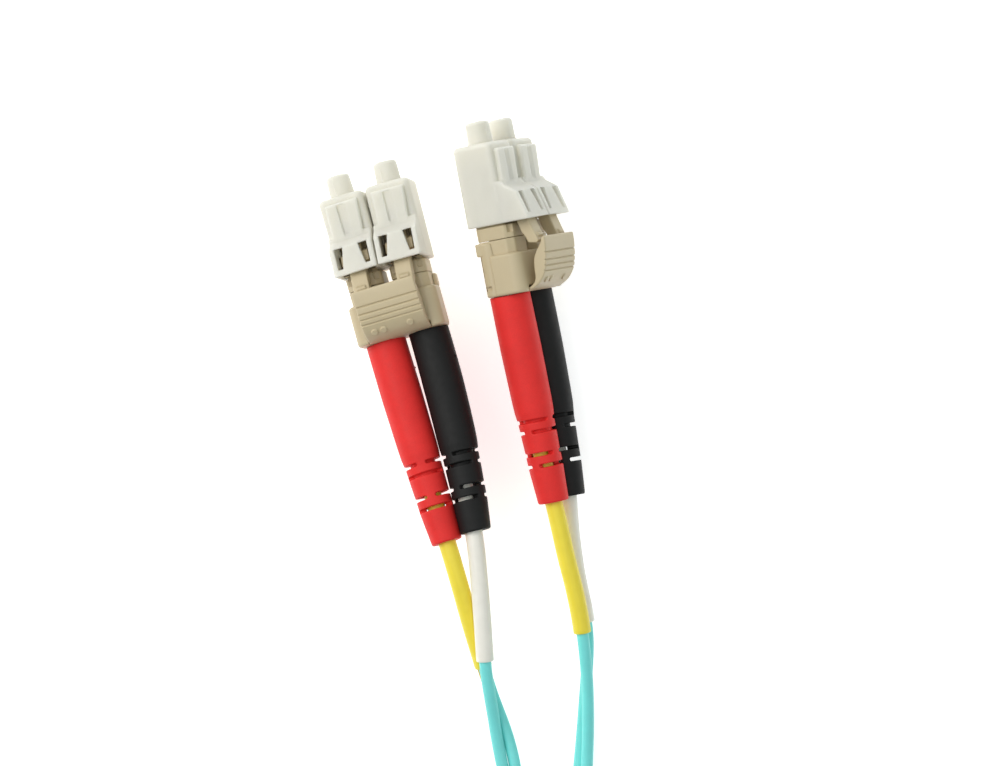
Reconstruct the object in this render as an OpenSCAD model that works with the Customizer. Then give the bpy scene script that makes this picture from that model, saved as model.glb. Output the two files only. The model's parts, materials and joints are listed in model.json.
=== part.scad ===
// Duplex fibre optic patch cord, LC to LC.
// Two plugs at each end sit in a duplex clip whose one wide trigger presses both latches.
// Everything lies on a table: +Z up, the origin in the middle of the footprint, millimetres.

/* [Plugs] */
// Distance between the two plugs of a pair, at the rear of the clip
plug_pitch = 6.25; // [6.25:0.01:6.6]
// How far each plug leans outward toward its tip, degrees
toe_out = 1.1; // [0:0.1:1.5]
// Side of the square nose
nose_w = 4.52; // [4.4:0.01:4.56]
// Ferrule diameter
ferrule_d = 1.25; // [1.24:0.005:1.26]
// How far the ferrule tip stands out of the nose
ferrule_out = 2.2; // [1.5:0.1:2.4]

/* [Clip and trigger] */
// Overall width of the duplex clip
clip_w = 13.52; // [13.4:0.02:14]
// Height of the clip's raised front wall, along the plugs
clip_len = 5.9; // [5:0.1:6.2]
// Width of the trigger
trigger_w = 9.36; // [8:0.02:9.6]
// Depth of the grip grooves on the trigger
rib_depth = 0.15; // [0.05:0.01:0.25]

/* [Dust caps] */
// Outer side of the square cap
cap_w = 6.0; // [5.8:0.02:6.1]
// Diameter of the pull nub at its tip
nub_d = 3.0; // [2.4:0.1:3.4]

/* [Boots and sleeves] */
// How far each boot leans inward toward the cord, degrees
boot_lean = 1.79; // [1.79:0.01:2]
// Length of a boot
boot_len = 30.2; // [30.2:0.1:30.6]
// Height of the flex slots
slot_h = 0.58; // [0.3:0.02:0.7]
// Width of the webs left between two slots
web_w = 1.2; // [0.8:0.1:1.6]
// Outside diameter of the identification sleeves
sleeve_d = 2.4; // [2.2:0.02:2.44]

/* [Cord] */
// Outside diameter of each cord
cord_d = 1.6; // [1.5:0.02:1.6]
// Distance between the two cords of the zip pair
cord_pitch = 1.65; // [1.65:0.01:1.7]
// Radius of the coil's round ends
coil_r = 34; // [30:1:36]
// Length of the coil's straight sides
coil_side = 20; // [18:1:24]
// Rise from one layer of the coil to the next
layer_step = 1.85; // [1.8:0.05:2]

/* [Hidden] */
$fn = 64;
LEFT = 0;
RIGHT = 1;
ENDS = [LEFT, RIGHT];
A = -1; // plug with the black boot and white sleeve
B = 1;  // plug with the red boot and yellow sleeve
SIDES = [A, B];
hair = 0.015; // clear length at each end of a cord piece; welds bridge it
weld_len = 0.4;
weld_inset = 0.06;

beige = [0.77, 0.71, 0.60];
ivory = [0.87, 0.86, 0.81];
aqua = [0.46, 0.83, 0.82];
boot_color = [[0.19, 0.19, 0.19], [0.87, 0.24, 0.22]];
sleeve_color = [[0.92, 0.90, 0.86], [0.93, 0.84, 0.30]];
steel = [0.72, 0.73, 0.75];

// The places below are measured from the centre of the coil, which lies this far behind the origin
coil_setback = 65.36;

// Where each end lies: clip's rear face centre, turn on the table, pitch, roll about its own length
end_pos = [[-21.51, 144.67, 8.1], [-5.14, 150.99, 7.35]];
end_turn = [15.35, 10.37];
end_pitch = [-5.4, 0.5];
end_roll = [-9.6, 61.7];

// Stations along a plug, measured forward from the clip's rear face
rear_z0 = 0.5;
seam_z = 8.1;
shoulder_z = 10.05;
nose_z = 18.7;
ferrule_tip = nose_z + ferrule_out;
latch_pivot = [2.62, 17.3];   // y, z
trigger_pivot = [2.9, 0.22];  // y, z
post_rear = -9;
neck_rear = -14;
boot_front = -0.08;

// Dust cap stations
cap_rear = 10.3;
cap_front = 22.05;
cap_wall = 0.66;

// Cord construction
jacket_id = 1.1;
aramid_d = 1.0;
aramid_id = 0.7;
buffer_d = 0.6;
JACKET = 0;
ARAMID = 1;
BUFFER = 2;
SLEEVE = 3;
pipe_d = [cord_d, aramid_d, buffer_d, sleeve_d];
pipe_id = [jacket_id, aramid_id, 0, 1.72];

// Where the zip pair splits into two legs: position, heading (degrees right of "toward the coil")
layer_z = [for (i = [0:3]) cord_d / 2 + i * layer_step];
split_pos = [[-6.165, 80, layer_z[3]], [3.42, 72, layer_z[0]]];
split_heading = [12.5, -3];
bend_gap = 0.9; // clear length at the split, so the ends can swing

// ---------- vectors and frames

function unit(v) = v / norm(v);
function turn_x(v, a) = [v.x, v.y * cos(a) - v.z * sin(a), v.y * sin(a) + v.z * cos(a)];
function turn_y(v, a) = [v.x * cos(a) + v.z * sin(a), v.y, -v.x * sin(a) + v.z * cos(a)];
function turn_z(v, a) = [v.x * cos(a) - v.y * sin(a), v.x * sin(a) + v.y * cos(a), v.z];

// A direction or a point of an end, as it lies on the table
function end_dir(e, v) =
    turn_z(turn_x(turn_z(turn_x(turn_z(v, end_roll[e]), 90), 180), end_pitch[e]), end_turn[e]);
function end_point(e, p) = end_pos[e] + end_dir(e, p);

// A point of a plug or a boot, in its end's frame
function leaning_point(s, lean, p) = [s * plug_pitch / 2, 0, 0] + turn_y(p, s * lean);

// Moves what is placed from the coil's centre into the model's frame
module from_coil() translate([0, -coil_setback, 0]) children();

module end_frame(e)
    from_coil() translate(end_pos[e]) rotate([0, 0, end_turn[e]]) rotate([end_pitch[e], 0, 0])
        rotate([90, 0, 180]) rotate([0, 0, end_roll[e]]) children();

module plug_frame(s)
    translate([s * plug_pitch / 2, 0, 0]) rotate([0, s * toe_out, 0]) children();

module boot_frame(s)
    translate([s * plug_pitch / 2, 0, 0]) rotate([0, s * boot_lean, 0]) children();

// ---------- shared shapes

// Rectangle with round corners, from corner [x0, y0] to corner [x1, y1]
module round_rect(x0, y0, x1, y1, r) {
    translate([x0 + r, y0]) square([x1 - x0 - 2 * r, y1 - y0]);
    translate([x0, y0 + r]) square([x1 - x0, y1 - y0 - 2 * r]);
    for (x = [x0 + r, x1 - r], y = [y0 + r, y1 - r]) translate([x, y]) circle(r = r);
}

// Bar of constant width across x with the side outline given as [y, z] points
module side_bar(w, outline)
    translate([-w / 2, 0, 0]) rotate([90, 0, 90]) linear_extrude(w) polygon(outline);

module tube(d, id, z0, z1)
    translate([0, 0, z0]) difference() {
        cylinder(d = d, h = z1 - z0);
        translate([0, 0, -1]) cylinder(d = id, h = z1 - z0 + 2);
    }

// ---------- pipes along a smooth 3-D route, made of circular arcs

// Section of one cord layer, centred on the route
module pipe_section(kind)
    difference() {
        circle(d = pipe_d[kind]);
        if (pipe_id[kind] > 0) circle(d = pipe_id[kind]);
    }

module along(p, t) {
    x = unit(abs(t.z) < 0.9 ? cross(t, [0, 0, 1]) : cross(t, [1, 0, 0]));
    y = cross(t, x);
    multmatrix([[x.x, y.x, t.x, p.x], [x.y, y.y, t.y, p.y], [x.z, y.z, t.z, p.z], [0, 0, 0, 1]])
        children();
}

// Short ring just inside the pipe's wall that joins two pieces end to end
module weld(p, t, kind)
    along(p, t) translate([0, 0, -weld_len / 2]) linear_extrude(weld_len) weld_section(kind);

module weld_section(kind)
    difference() {
        circle(d = pipe_d[kind] - weld_inset);
        if (pipe_id[kind] > 0) circle(d = pipe_id[kind] + weld_inset);
    }

module straight_piece(p, q, kind)
    along(p, unit(q - p)) translate([0, 0, hair]) linear_extrude(norm(q - p) - 2 * hair)
        pipe_section(kind);

// Ring sector from the X axis, short of both ends by a hair
module sector(r, a) {
    cut = hair / r * 180 / PI;
    rotate([0, 0, cut]) rotate_extrude(angle = a - 2 * cut) translate([r, 0]) children();
}

// Arc leaving p along t and ending at q
module arc_piece(p, t, q, kind) {
    v = q - p;
    side = v - (v * t) * t;
    bend = 2 * atan2(norm(side), v * t);
    if (bend < 0.15) straight_piece(p, q, kind);
    else {
        n = unit(side);
        r = (v * v) / (2 * (v * n));
        c = p + r * n;
        z = cross(-n, t);
        multmatrix([[-n.x, t.x, z.x, c.x], [-n.y, t.y, z.y, c.y], [-n.z, t.z, z.z, c.z], [0, 0, 0, 1]])
            sector(r, bend) pipe_section(kind);
    }
}

// Two arcs that leave p0 along t0 and reach p1 along t1
module biarc(p0, t0, p1, t1, kind) {
    v = p1 - p0;
    t = t0 + t1;
    k = 2 * (1 - t0 * t1);
    d = k < 1e-6 ? (v * v) / (4 * (v * t1)) : (-(v * t) + sqrt((v * t) * (v * t) + k * (v * v))) / k;
    mid = (p0 + p1 + d * (t0 - t1)) / 2;
    u = unit(mid - p0);
    arc_piece(p0, t0, mid, kind);
    arc_piece(p1, -t1, mid, kind);
    weld(mid, 2 * (u * t0) * u - t0, kind);
}

// Unit direction from a heading on the table (degrees right of -Y) and a downward slope
function heading_dir(h, slope) = unit([sin(h), -cos(h), -slope]);

// Waypoints of each leg beyond the boot, as [point, heading, slope]. First the sleeve's end.
leg_waypoints = [
    [[[[-10.16, 97.74, 10.8], 2, 0.16], [[-7.86, 83.6, 6.85], 11.5, 0.08]],
     [[[-10.74, 96.59, 8.0], 17, 0.26], [[-6.06, 83.6, 6.30], 13.5, 0]]],
    [[[[4.34, 103.66, 4.0], 4.5, 0.12], [[3.44, 83.02, 1.08], -4, 0.06], [[2.90, 77.54, 0.81], -4, 0.01]],
     [[[3.89, 101.92, 7.2], 7.5, 0.16], [[4.48, 83.02, 2.45], -1, 0.2], [[4.52, 77.46, 1.36], -2, 0.16]]]];

// Points and directions of a leg from the sleeve's end to the split
function leg_route(e, s) =
    let (h = split_heading[e],
         side = s * cord_pitch / 2,
         p = split_pos[e] - bend_gap / 2 * heading_dir(h, 0) + side * [cos(h), sin(h), 0])
    [for (w = leg_waypoints[e][s == A ? 0 : 1]) [w[0], heading_dir(w[1], w[2])], [p, heading_dir(h, 0)]];

// Pipe of one leg from station z0 on the plug's axis (or inside the boot) to the sleeve end or the split
module leg_pipe(e, s, kind, z0, whole) {
    plug_rear = end_point(e, leaning_point(s, toe_out, [0, 0, neck_rear - 0.5]));
    plug_dir = end_dir(e, leaning_point(s, toe_out, [0, 0, -1]) - [s * plug_pitch / 2, 0, 0]);
    boot_dir = end_dir(e, leaning_point(s, boot_lean, [0, 0, -1]) - [s * plug_pitch / 2, 0, 0]);
    boot_in = end_point(e, leaning_point(s, boot_lean, [0, 0, -22.4]));
    boot_out = end_point(e, leaning_point(s, boot_lean, [0, 0, -boot_len]));
    route = leg_route(e, s);
    if (z0 > neck_rear) {
        straight_piece(end_point(e, leaning_point(s, toe_out, [0, 0, z0])), plug_rear, kind);
        biarc(plug_rear, plug_dir, boot_in, boot_dir, kind);
        weld(plug_rear, plug_dir, kind);
        weld(boot_in, boot_dir, kind);
    }
    straight_piece(boot_in, boot_out, kind);
    weld(boot_out, boot_dir, kind);
    biarc(boot_out, boot_dir, route[0][0], route[0][1], kind);
    if (whole) for (i = [1:len(route) - 1]) {
        weld(route[i - 1][0], route[i - 1][1], kind);
        biarc(route[i - 1][0], route[i - 1][1], route[i][0], route[i][1], kind);
    }
}

// ---------- the zip pair

module zip_section(kind) {
    difference() {
        union() {
            for (s = SIDES) translate([s * cord_pitch / 2, 0]) circle(d = pipe_d[kind]);
            if (kind == JACKET) square([cord_pitch - cord_d * 0.8, 0.5], center = true);
        }
        if (pipe_id[kind] > 0)
            for (s = SIDES) translate([s * cord_pitch / 2, 0]) circle(d = pipe_id[kind]);
    }
}

module zip_weld(kind)
    rotate([90, 0, 0]) translate([0, 0, -weld_len / 2]) linear_extrude(weld_len)
        for (s = SIDES) translate([s * cord_pitch / 2, 0]) weld_section(kind);

// Length and bend of a ramp that climbs one layer over the coil's straight side
ramp_bend = 2 * atan2(layer_step / 2, coil_side / 2);
ramp_r = coil_side / 2 / sin(ramp_bend);

// Lays the pair piece by piece. "turn": radius, degrees (left is positive). "go": length. "climb": one layer.
module lay(route, i, kind) {
    if (i < len(route)) {
        step = route[i];
        if (i > 0) zip_weld(kind);
        if (step[0] == "go") {
            translate([0, hair, 0]) rotate([-90, 0, 0]) linear_extrude(step[1] - 2 * hair)
                zip_section(kind);
            translate([0, step[1], 0]) lay(route, i + 1, kind);
        } else if (step[0] == "turn") {
            a = step[2];
            r = step[1] * sign(a);
            translate([-r, 0, 0]) {
                if (a > 0) sector(r, a) zip_section(kind);
                else rotate([0, 0, 180 + a]) sector(-r, -a) zip_section(kind);
                rotate([0, 0, a]) translate([r, 0, 0]) lay(route, i + 1, kind);
            }
        } else {
            translate([0, 0, ramp_r]) rotate([0, 90, 0]) sector(ramp_r, ramp_bend)
                rotate([0, 0, 90]) zip_section(kind);
            translate([0, coil_side, layer_step - ramp_r]) rotate([0, 90, 0])
                rotate([0, 0, 180]) sector(ramp_r, ramp_bend) rotate([0, 0, 90]) zip_section(kind);
            translate([0, coil_side / 2, layer_step / 2]) rotate([ramp_bend, 0, 0]) zip_weld(kind);
            translate([0, coil_side, layer_step]) lay(route, i + 1, kind);
        }
    }
}

// A curve that leaves a split and meets the coil's upper round end without a kink.
// Returns its radius, its angle and the angle left on the coil to its straight side.
function lead_in(e) =
    let (m = e == LEFT ? 1 : -1,
         h = split_heading[e] * m,
         start = [split_pos[e].x * m, split_pos[e].y]
             + (bend_gap / 2) * [sin(h), -cos(h)],
         w = start - [0, coil_side / 2],
         n = [cos(h), sin(h)],
         r = (w * w - coil_r * coil_r) / (2 * coil_r - 2 * (w * n)),
         c = start + r * n - [0, coil_side / 2],
         meet = atan2(c.y, c.x))
    [r, meet - h, meet];

zip_route = let (a = lead_in(RIGHT), b = lead_in(LEFT))
    [["turn", a[0], -a[1]], ["turn", coil_r, a[2]], ["go", coil_side], ["turn", coil_r, 180],
     ["climb"], ["turn", coil_r, 180], ["go", coil_side], ["turn", coil_r, 180],
     ["climb"], ["turn", coil_r, 180], ["go", coil_side], ["turn", coil_r, 180],
     ["climb"], ["turn", coil_r, b[2]], ["turn", b[0], -b[1]]];

module zip_pair(kind) {
    h = split_heading[RIGHT];
    from_coil() translate(split_pos[RIGHT] + bend_gap / 2 * heading_dir(h, 0))
        rotate([0, 0, 180 + h]) lay(zip_route, 0, kind);
}

// ---------- plug parts, in the plug's frame

module rear_block(z0, z1) {
    chamfer = 1.0;
    w = 2.7;
    difference() {
        translate([0, 0, z0]) linear_extrude(z1 - z0) {
            round_rect(-w, -2.3, w, 2.3, 0.9);
            polygon([[-w, -1], [w, -1], [w, 2.4], [w - chamfer, 3.4], [chamfer - w, 3.4], [-w, 2.4]]);
        }
    }
}

module plug_housing() {
    half = nose_w / 2;
    difference() {
        union() {
            rear_block(seam_z + 0.03, shoulder_z);
            translate([0, 0, shoulder_z - 0.5]) linear_extrude(nose_z - shoulder_z + 0.5)
                round_rect(-half, -half, half, half, 0.35);
        }
        // spring chamber, web with the ferrule's guide bore, and the mouth around the ferrule
        translate([0, 0, seam_z - 1]) cylinder(r = 1.5, h = 15.7 - seam_z + 1);
        cylinder(r = ferrule_d / 2 + 0.045, h = 30);
        translate([0, 0, 16.1]) cylinder(r = 1.55, h = 5);
        // flat recess under the latch
        translate([-2.4, 2.0, 10.4]) cube([4.8, 2, 6.3]);
    }
}

module latch() {
    // slender root, shoulders that catch the socket, and the thick tail under the trigger
    side_bar(2.4, [[2.36, 17.3], [2.36, 14.4], [3.1, 12.2], [3.96, 10.2], [4.44, 8.5], [4.81, 7.9],
                   [5.2, 6.85], [6.55, 6.7], [6.86, 6.95], [5.82, 10.35], [5.35, 11.7], [3.95, 14.4],
                   [3.2, 15.2], [2.88, 17.3]]);
    side_bar(4.1, [[3.45, 11.4], [5.25, 11.7], [4.6, 13.2], [3.45, 13.6]]);
    translate([-1.2, latch_pivot[0], latch_pivot[1]]) rotate([0, 90, 0]) cylinder(r = 0.26, h = 2.4);
    // grip bump on the tail
    translate([-0.7, 6.42, 8.0]) rotate([0, 90, 0]) cylinder(r = 0.42, h = 1.4);
}

module rear_housing() {
    difference() {
        union() {
            rear_block(rear_z0, seam_z);
            translate([0, 0, seam_z - 1]) cylinder(r = 1.45, h = 1.6);
        }
        cylinder(r = 1.3, h = 5.6);
        cylinder(r = 0.8, h = 20);
    }
}

module ferrule() {
    r = ferrule_d / 2;
    rear = ferrule_tip - 6.5;
    bevel = 0.12;
    translate([0, 0, rear]) cylinder(r = r, h = ferrule_tip - rear - bevel);
    translate([0, 0, ferrule_tip - bevel]) cylinder(r1 = r, r2 = r - bevel, h = bevel);
}

module ferrule_flange() {
    rear = ferrule_tip - 6.5;
    difference() {
        union() {
            translate([0, 0, 13.8]) cylinder(r = 1.3, h = 1.82);
            translate([0, 0, 9.6]) cylinder(r = 0.72, h = 4.4);
        }
        translate([0, 0, rear - 0.05]) cylinder(r = ferrule_d / 2 + 0.005, h = 3);
        translate([0, 0, 9]) cylinder(r = 0.36, h = 3.8);
    }
}

// Coil spring behind the flange: half turns, each tilted about its own start
module spring() {
    r = 1.1;
    wire = 0.15;
    turns = 6;
    z0 = seam_z + 0.6 + wire + 0.06;
    pitch = (13.8 - wire - 0.06 - z0) / turns;
    tilt = asin(pitch / 2 / (2 * r));
    for (i = [0:turns - 1]) translate([0, 0, z0 + i * pitch]) {
        translate([r, 0, 0]) rotate([0, tilt, 0]) translate([-r, 0, 0])
            rotate_extrude(angle = 180) translate([r, 0]) circle(r = wire);
        translate([-r, 0, pitch / 2]) rotate([0, -tilt, 0]) translate([r, 0, 0]) rotate([0, 0, 180])
            rotate_extrude(angle = 180) translate([r, 0]) circle(r = wire);
    }
}

// Outline of the cap's flared skirt over the latch, moved inward by t
function skirt_outline(t) =
    let (lift = t * 0.35)
    [[2.0, cap_rear - t * 2], [7.0 - t * 1.05, cap_rear - t * 2], [6.67 - t, 11.4], [5.8 - t, 14.4 - lift],
     [5.07 - t, 14.9 - lift], [4.16 - t, 15.4 - lift], [3.75 - t, 16.0 - lift], [3.75 - t, 16.6],
     [2.0, 16.6]];

module dust_cap() {
    h = cap_w / 2;
    cavity = nose_w / 2 + 0.08;
    difference() {
        union() {
            translate([0, 0, cap_rear]) linear_extrude(cap_front - cap_rear - 0.35)
                round_rect(-h, -h, h, h, 0.6);
            translate([0, 0, cap_front - 0.4]) linear_extrude(0.4)
                round_rect(0.3 - h, 0.3 - h, h - 0.3, h - 0.3, 0.5);
            // raised panel in front of the latch, and the skirt over it
            translate([0, 0, 15.6]) linear_extrude(5.3) round_rect(-2.5, 1, 2.5, 3.75, 0.4);
            side_bar(cap_w - 0.1, skirt_outline(0));
            // pull nub
            translate([0, 0, cap_front - 0.2]) cylinder(d1 = nub_d + 0.5, d2 = nub_d, h = 3.0);
            translate([0, 0, cap_front + 2.79]) cylinder(d1 = nub_d, d2 = nub_d - 0.7, h = 0.4);
        }
        // room for the nose, the ferrule and the latch
        translate([-cavity, -cavity, cap_rear - 1])
            cube([2 * cavity, 2 * cavity, nose_z + 0.25 - cap_rear + 1]);
        translate([0, 0, nose_z]) cylinder(r = 1.2, h = ferrule_tip + 0.4 - nose_z);
        side_bar(2 * cavity, skirt_outline(cap_wall));
        translate([-1.45, 1.5, cap_rear]) cube([2.9, 3.15 - 1.5, 17.85 - cap_rear]);
        // two windows beside the latch that narrow toward the rear
        for (m = [0, 1]) mirror([m, 0, 0]) rotate([-90, 0, 0]) translate([0, 0, 4.2])
            linear_extrude(4) polygon([[1.2, -14.5], [2.28, -14.5], [2.28, -11.65], [1.62, -11.65]]);
    }
}

module crimp_post()
    difference() {
        union() {
            tube(2.5, 1.0, post_rear, 5.3);
            tube(2.56, 1.0, 1.4, 2.4);
        }
        translate([0, 0, post_rear - 1]) cylinder(r = 0.5, h = 20);
    }

module crimp_sleeve() {
    tube(3.3, 2.62, post_rear - 0.4, -1.6);
    tube(2.3, 1.72, neck_rear, post_rear - 0.3);
    tube(3.3, 1.72, post_rear - 0.7, post_rear - 0.3);
}

module boot() {
    difference() {
        rotate_extrude() polygon([
            [1.26, -boot_len], [1.95, -boot_len], [2.14, -boot_len + 0.35], [2.36, -23], [2.44, -20.6],
            [2.44, -20], [2.52, -17.8], [2.56, -17.2], [2.56, -16], [2.78, -9], [2.81, boot_front],
            [1.95, boot_front], [1.95, -14.6], [1.26, -15.3]]);
        // flex slots in two crossed pairs
        for (z = [-18.4, -23.3], m = [0, 1])
            mirror([m, 0, 0]) translate([web_w / 2, -4, z - slot_h / 2]) cube([4, 8, slot_h]);
        for (z = [-20.0, -25.0], m = [0, 1])
            mirror([0, m, 0]) translate([-4, web_w / 2, z - slot_h / 2]) cube([8, 4, slot_h]);
    }
}

// ---------- clip and trigger, in the end's frame

module duplex_clip() {
    w = clip_w / 2;
    back = -2.75;
    difference() {
        union() {
            // raised front wall with rounded edges
            linear_extrude(clip_len) {
                round_rect(-w, -0.1, w, 4.25, 1.6);
                translate([-w, -0.1]) square([clip_w, 2]);
            }
            // lower back, rounded to follow the plugs, a little taller than the front
            linear_extrude(7.9) round_rect(0.25 - w, back, w - 0.25, 0.6, 1.6);
            // stops at the back corners
            for (s = SIDES) translate([s * 5.85, -1.75, 6.05]) linear_extrude(1.85)
                round_rect(-0.5, -0.75, 0.5, 0.55, 0.2);
        }
        for (s = SIDES) plug_frame(s) {
            // pocket for the rear housing, with the crimp post's hole behind it
            translate([0, 0, rear_z0 - 0.05]) linear_extrude(12) {
                round_rect(-2.76, -2.36, 2.76, 2.3, 0.9);
                polygon([[-2.76, -1], [2.76, -1], [2.76, 2.43], [1.73, 3.46], [-1.73, 3.46], [-2.76, 2.43]]);
            }
            translate([0, 0, -1]) cylinder(r = 1.72, h = 3);
        }
        // see-through gap between the plugs above the front wall
        translate([-0.45, -4, clip_len]) cube([0.9, 8, 4]);
        // room for the trigger's root
        translate([-trigger_w / 2 - 0.15, 2.55, -1]) cube([trigger_w + 0.3, 4, 2.1]);
        // notch across each back edge
        for (s = SIDES) translate([s * (w - 0.25) - 0.5, back - 1, 1.0]) cube([1, 3, 0.6]);
    }
}

trigger_outline = [
    [2.9, 0.0], [3.8, 0.0], [4.9, 0.42], [5.6, 0.83], [6.2, 1.32], [6.75, 1.95], [7.15, 2.65], [7.42, 3.45],
    [7.65, 4.4], [7.85, 5.5], [7.95, 6.6], [7.95, 7.25], [7.8, 7.42], [7.6, 7.36], [7.35, 6.95], [7.03, 6.4],
    [6.6, 5.85], [6.15, 5.3], [5.82, 4.75], [5.62, 4.2], [5.5, 3.5], [5.43, 2.7], [5.38, 1.75], [5.1, 1.15],
    [4.34, 0.62], [3.6, 0.44], [2.9, 0.44]];

module trigger() {
    difference() {
        union() {
            side_bar(trigger_w, trigger_outline);
            translate([-trigger_w / 2, trigger_pivot[0], trigger_pivot[1]]) rotate([0, 90, 0])
                cylinder(r = 0.22, h = trigger_w);
        }
        // grip grooves
        for (g = [[7.5, 3.3, 14], [7.72, 4.2, 12], [7.9, 5.1, 9]])
            translate([0, g[0], g[1]]) rotate([-g[2], 0, 0])
                translate([-trigger_w, -rib_depth, -0.09]) cube([2 * trigger_w, 2, 0.18]);
    }
    // raised marks near the root: one dot for plug A, two for plug B
    for (x = [-2.3, 2.1, 3.1]) translate([x, 5.05, 0.55]) rotate([126, 0, 0])
        translate([0, 0, -0.2]) cylinder(r = 0.28, h = 0.36);
}

// ---------- nodes

module in_plug(e, s) end_frame(e) plug_frame(s) children();

function prefix(e, s) = str(e == LEFT ? "left" : "right", s == A ? "_a_" : "_b_");

module plug_part(e, s, name) {
    i = s == A ? 0 : 1;
    if (name == "plug_housing") color(beige) in_plug(e, s) plug_housing();
    if (name == "latch") color(beige) in_plug(e, s) latch();
    if (name == "rear_housing") color(beige) in_plug(e, s) rear_housing();
    if (name == "ferrule") color([0.95, 0.95, 0.93]) in_plug(e, s) ferrule();
    if (name == "ferrule_flange") color(steel) in_plug(e, s) ferrule_flange();
    if (name == "spring") color(steel) in_plug(e, s) spring();
    if (name == "boot") color(boot_color[i]) end_frame(e) boot_frame(s) boot();
    if (name == "id_sleeve") color(sleeve_color[i]) from_coil() leg_pipe(e, s, SLEEVE, -22.4, false);
    if (name == "dust_cap") color(ivory) in_plug(e, s) dust_cap();
}

module end_part(e, name) {
    if (name == "duplex_clip") color(beige) end_frame(e) duplex_clip();
    if (name == "trigger") color(beige) end_frame(e) trigger();
    if (name == "crimp_posts") color(steel) end_frame(e) for (s = SIDES) plug_frame(s) crimp_post();
    if (name == "crimp_sleeves") color(steel) end_frame(e) for (s = SIDES) plug_frame(s) crimp_sleeve();
    if (name == "leg_jackets") color(aqua)
        from_coil() for (s = SIDES) leg_pipe(e, s, JACKET, post_rear - 0.75, true);
    if (name == "leg_aramid") color([0.93, 0.83, 0.45])
        from_coil() for (s = SIDES) leg_pipe(e, s, ARAMID, post_rear - 0.75, true);
    if (name == "leg_fibres") color([0.55, 0.85, 0.85])
        from_coil() for (s = SIDES) leg_pipe(e, s, BUFFER, 11.3, true);
}

plug_part(LEFT, A, "plug_housing");  // left_a_plug_housing
plug_part(LEFT, A, "latch");  // left_a_latch
plug_part(LEFT, A, "rear_housing");  // left_a_rear_housing
plug_part(LEFT, A, "ferrule");  // left_a_ferrule
plug_part(LEFT, A, "ferrule_flange");  // left_a_ferrule_flange
plug_part(LEFT, A, "spring");  // left_a_spring
plug_part(LEFT, A, "boot");  // left_a_boot
plug_part(LEFT, A, "id_sleeve");  // left_a_id_sleeve
plug_part(LEFT, A, "dust_cap");  // left_a_dust_cap
plug_part(LEFT, B, "plug_housing");  // left_b_plug_housing
plug_part(LEFT, B, "latch");  // left_b_latch
plug_part(LEFT, B, "rear_housing");  // left_b_rear_housing
plug_part(LEFT, B, "ferrule");  // left_b_ferrule
plug_part(LEFT, B, "ferrule_flange");  // left_b_ferrule_flange
plug_part(LEFT, B, "spring");  // left_b_spring
plug_part(LEFT, B, "boot");  // left_b_boot
plug_part(LEFT, B, "id_sleeve");  // left_b_id_sleeve
plug_part(LEFT, B, "dust_cap");  // left_b_dust_cap
end_part(LEFT, "duplex_clip");  // left_duplex_clip
end_part(LEFT, "trigger");  // left_trigger
end_part(LEFT, "crimp_posts");  // left_crimp_posts
end_part(LEFT, "crimp_sleeves");  // left_crimp_sleeves
end_part(LEFT, "leg_jackets");  // left_leg_jackets
end_part(LEFT, "leg_aramid");  // left_leg_aramid
end_part(LEFT, "leg_fibres");  // left_leg_fibres
plug_part(RIGHT, A, "plug_housing");  // right_a_plug_housing
plug_part(RIGHT, A, "latch");  // right_a_latch
plug_part(RIGHT, A, "rear_housing");  // right_a_rear_housing
plug_part(RIGHT, A, "ferrule");  // right_a_ferrule
plug_part(RIGHT, A, "ferrule_flange");  // right_a_ferrule_flange
plug_part(RIGHT, A, "spring");  // right_a_spring
plug_part(RIGHT, A, "boot");  // right_a_boot
plug_part(RIGHT, A, "id_sleeve");  // right_a_id_sleeve
plug_part(RIGHT, A, "dust_cap");  // right_a_dust_cap
plug_part(RIGHT, B, "plug_housing");  // right_b_plug_housing
plug_part(RIGHT, B, "latch");  // right_b_latch
plug_part(RIGHT, B, "rear_housing");  // right_b_rear_housing
plug_part(RIGHT, B, "ferrule");  // right_b_ferrule
plug_part(RIGHT, B, "ferrule_flange");  // right_b_ferrule_flange
plug_part(RIGHT, B, "spring");  // right_b_spring
plug_part(RIGHT, B, "boot");  // right_b_boot
plug_part(RIGHT, B, "id_sleeve");  // right_b_id_sleeve
plug_part(RIGHT, B, "dust_cap");  // right_b_dust_cap
end_part(RIGHT, "duplex_clip");  // right_duplex_clip
end_part(RIGHT, "trigger");  // right_trigger
end_part(RIGHT, "crimp_posts");  // right_crimp_posts
end_part(RIGHT, "crimp_sleeves");  // right_crimp_sleeves
end_part(RIGHT, "leg_jackets");  // right_leg_jackets
end_part(RIGHT, "leg_aramid");  // right_leg_aramid
end_part(RIGHT, "leg_fibres");  // right_leg_fibres
color(aqua) zip_pair(JACKET);  // zip_jacket
color([0.93, 0.83, 0.45]) zip_pair(ARAMID);  // zip_aramid
color([0.55, 0.85, 0.85]) zip_pair(BUFFER);  // zip_fibres
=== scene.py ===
"""Looks of the duplex fibre patch cord: moulded plastic, rubber boots, sleeves and the cord."""
import json
import math

import bmesh
import bpy
import numpy as np
from mathutils import Matrix, Vector


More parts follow.
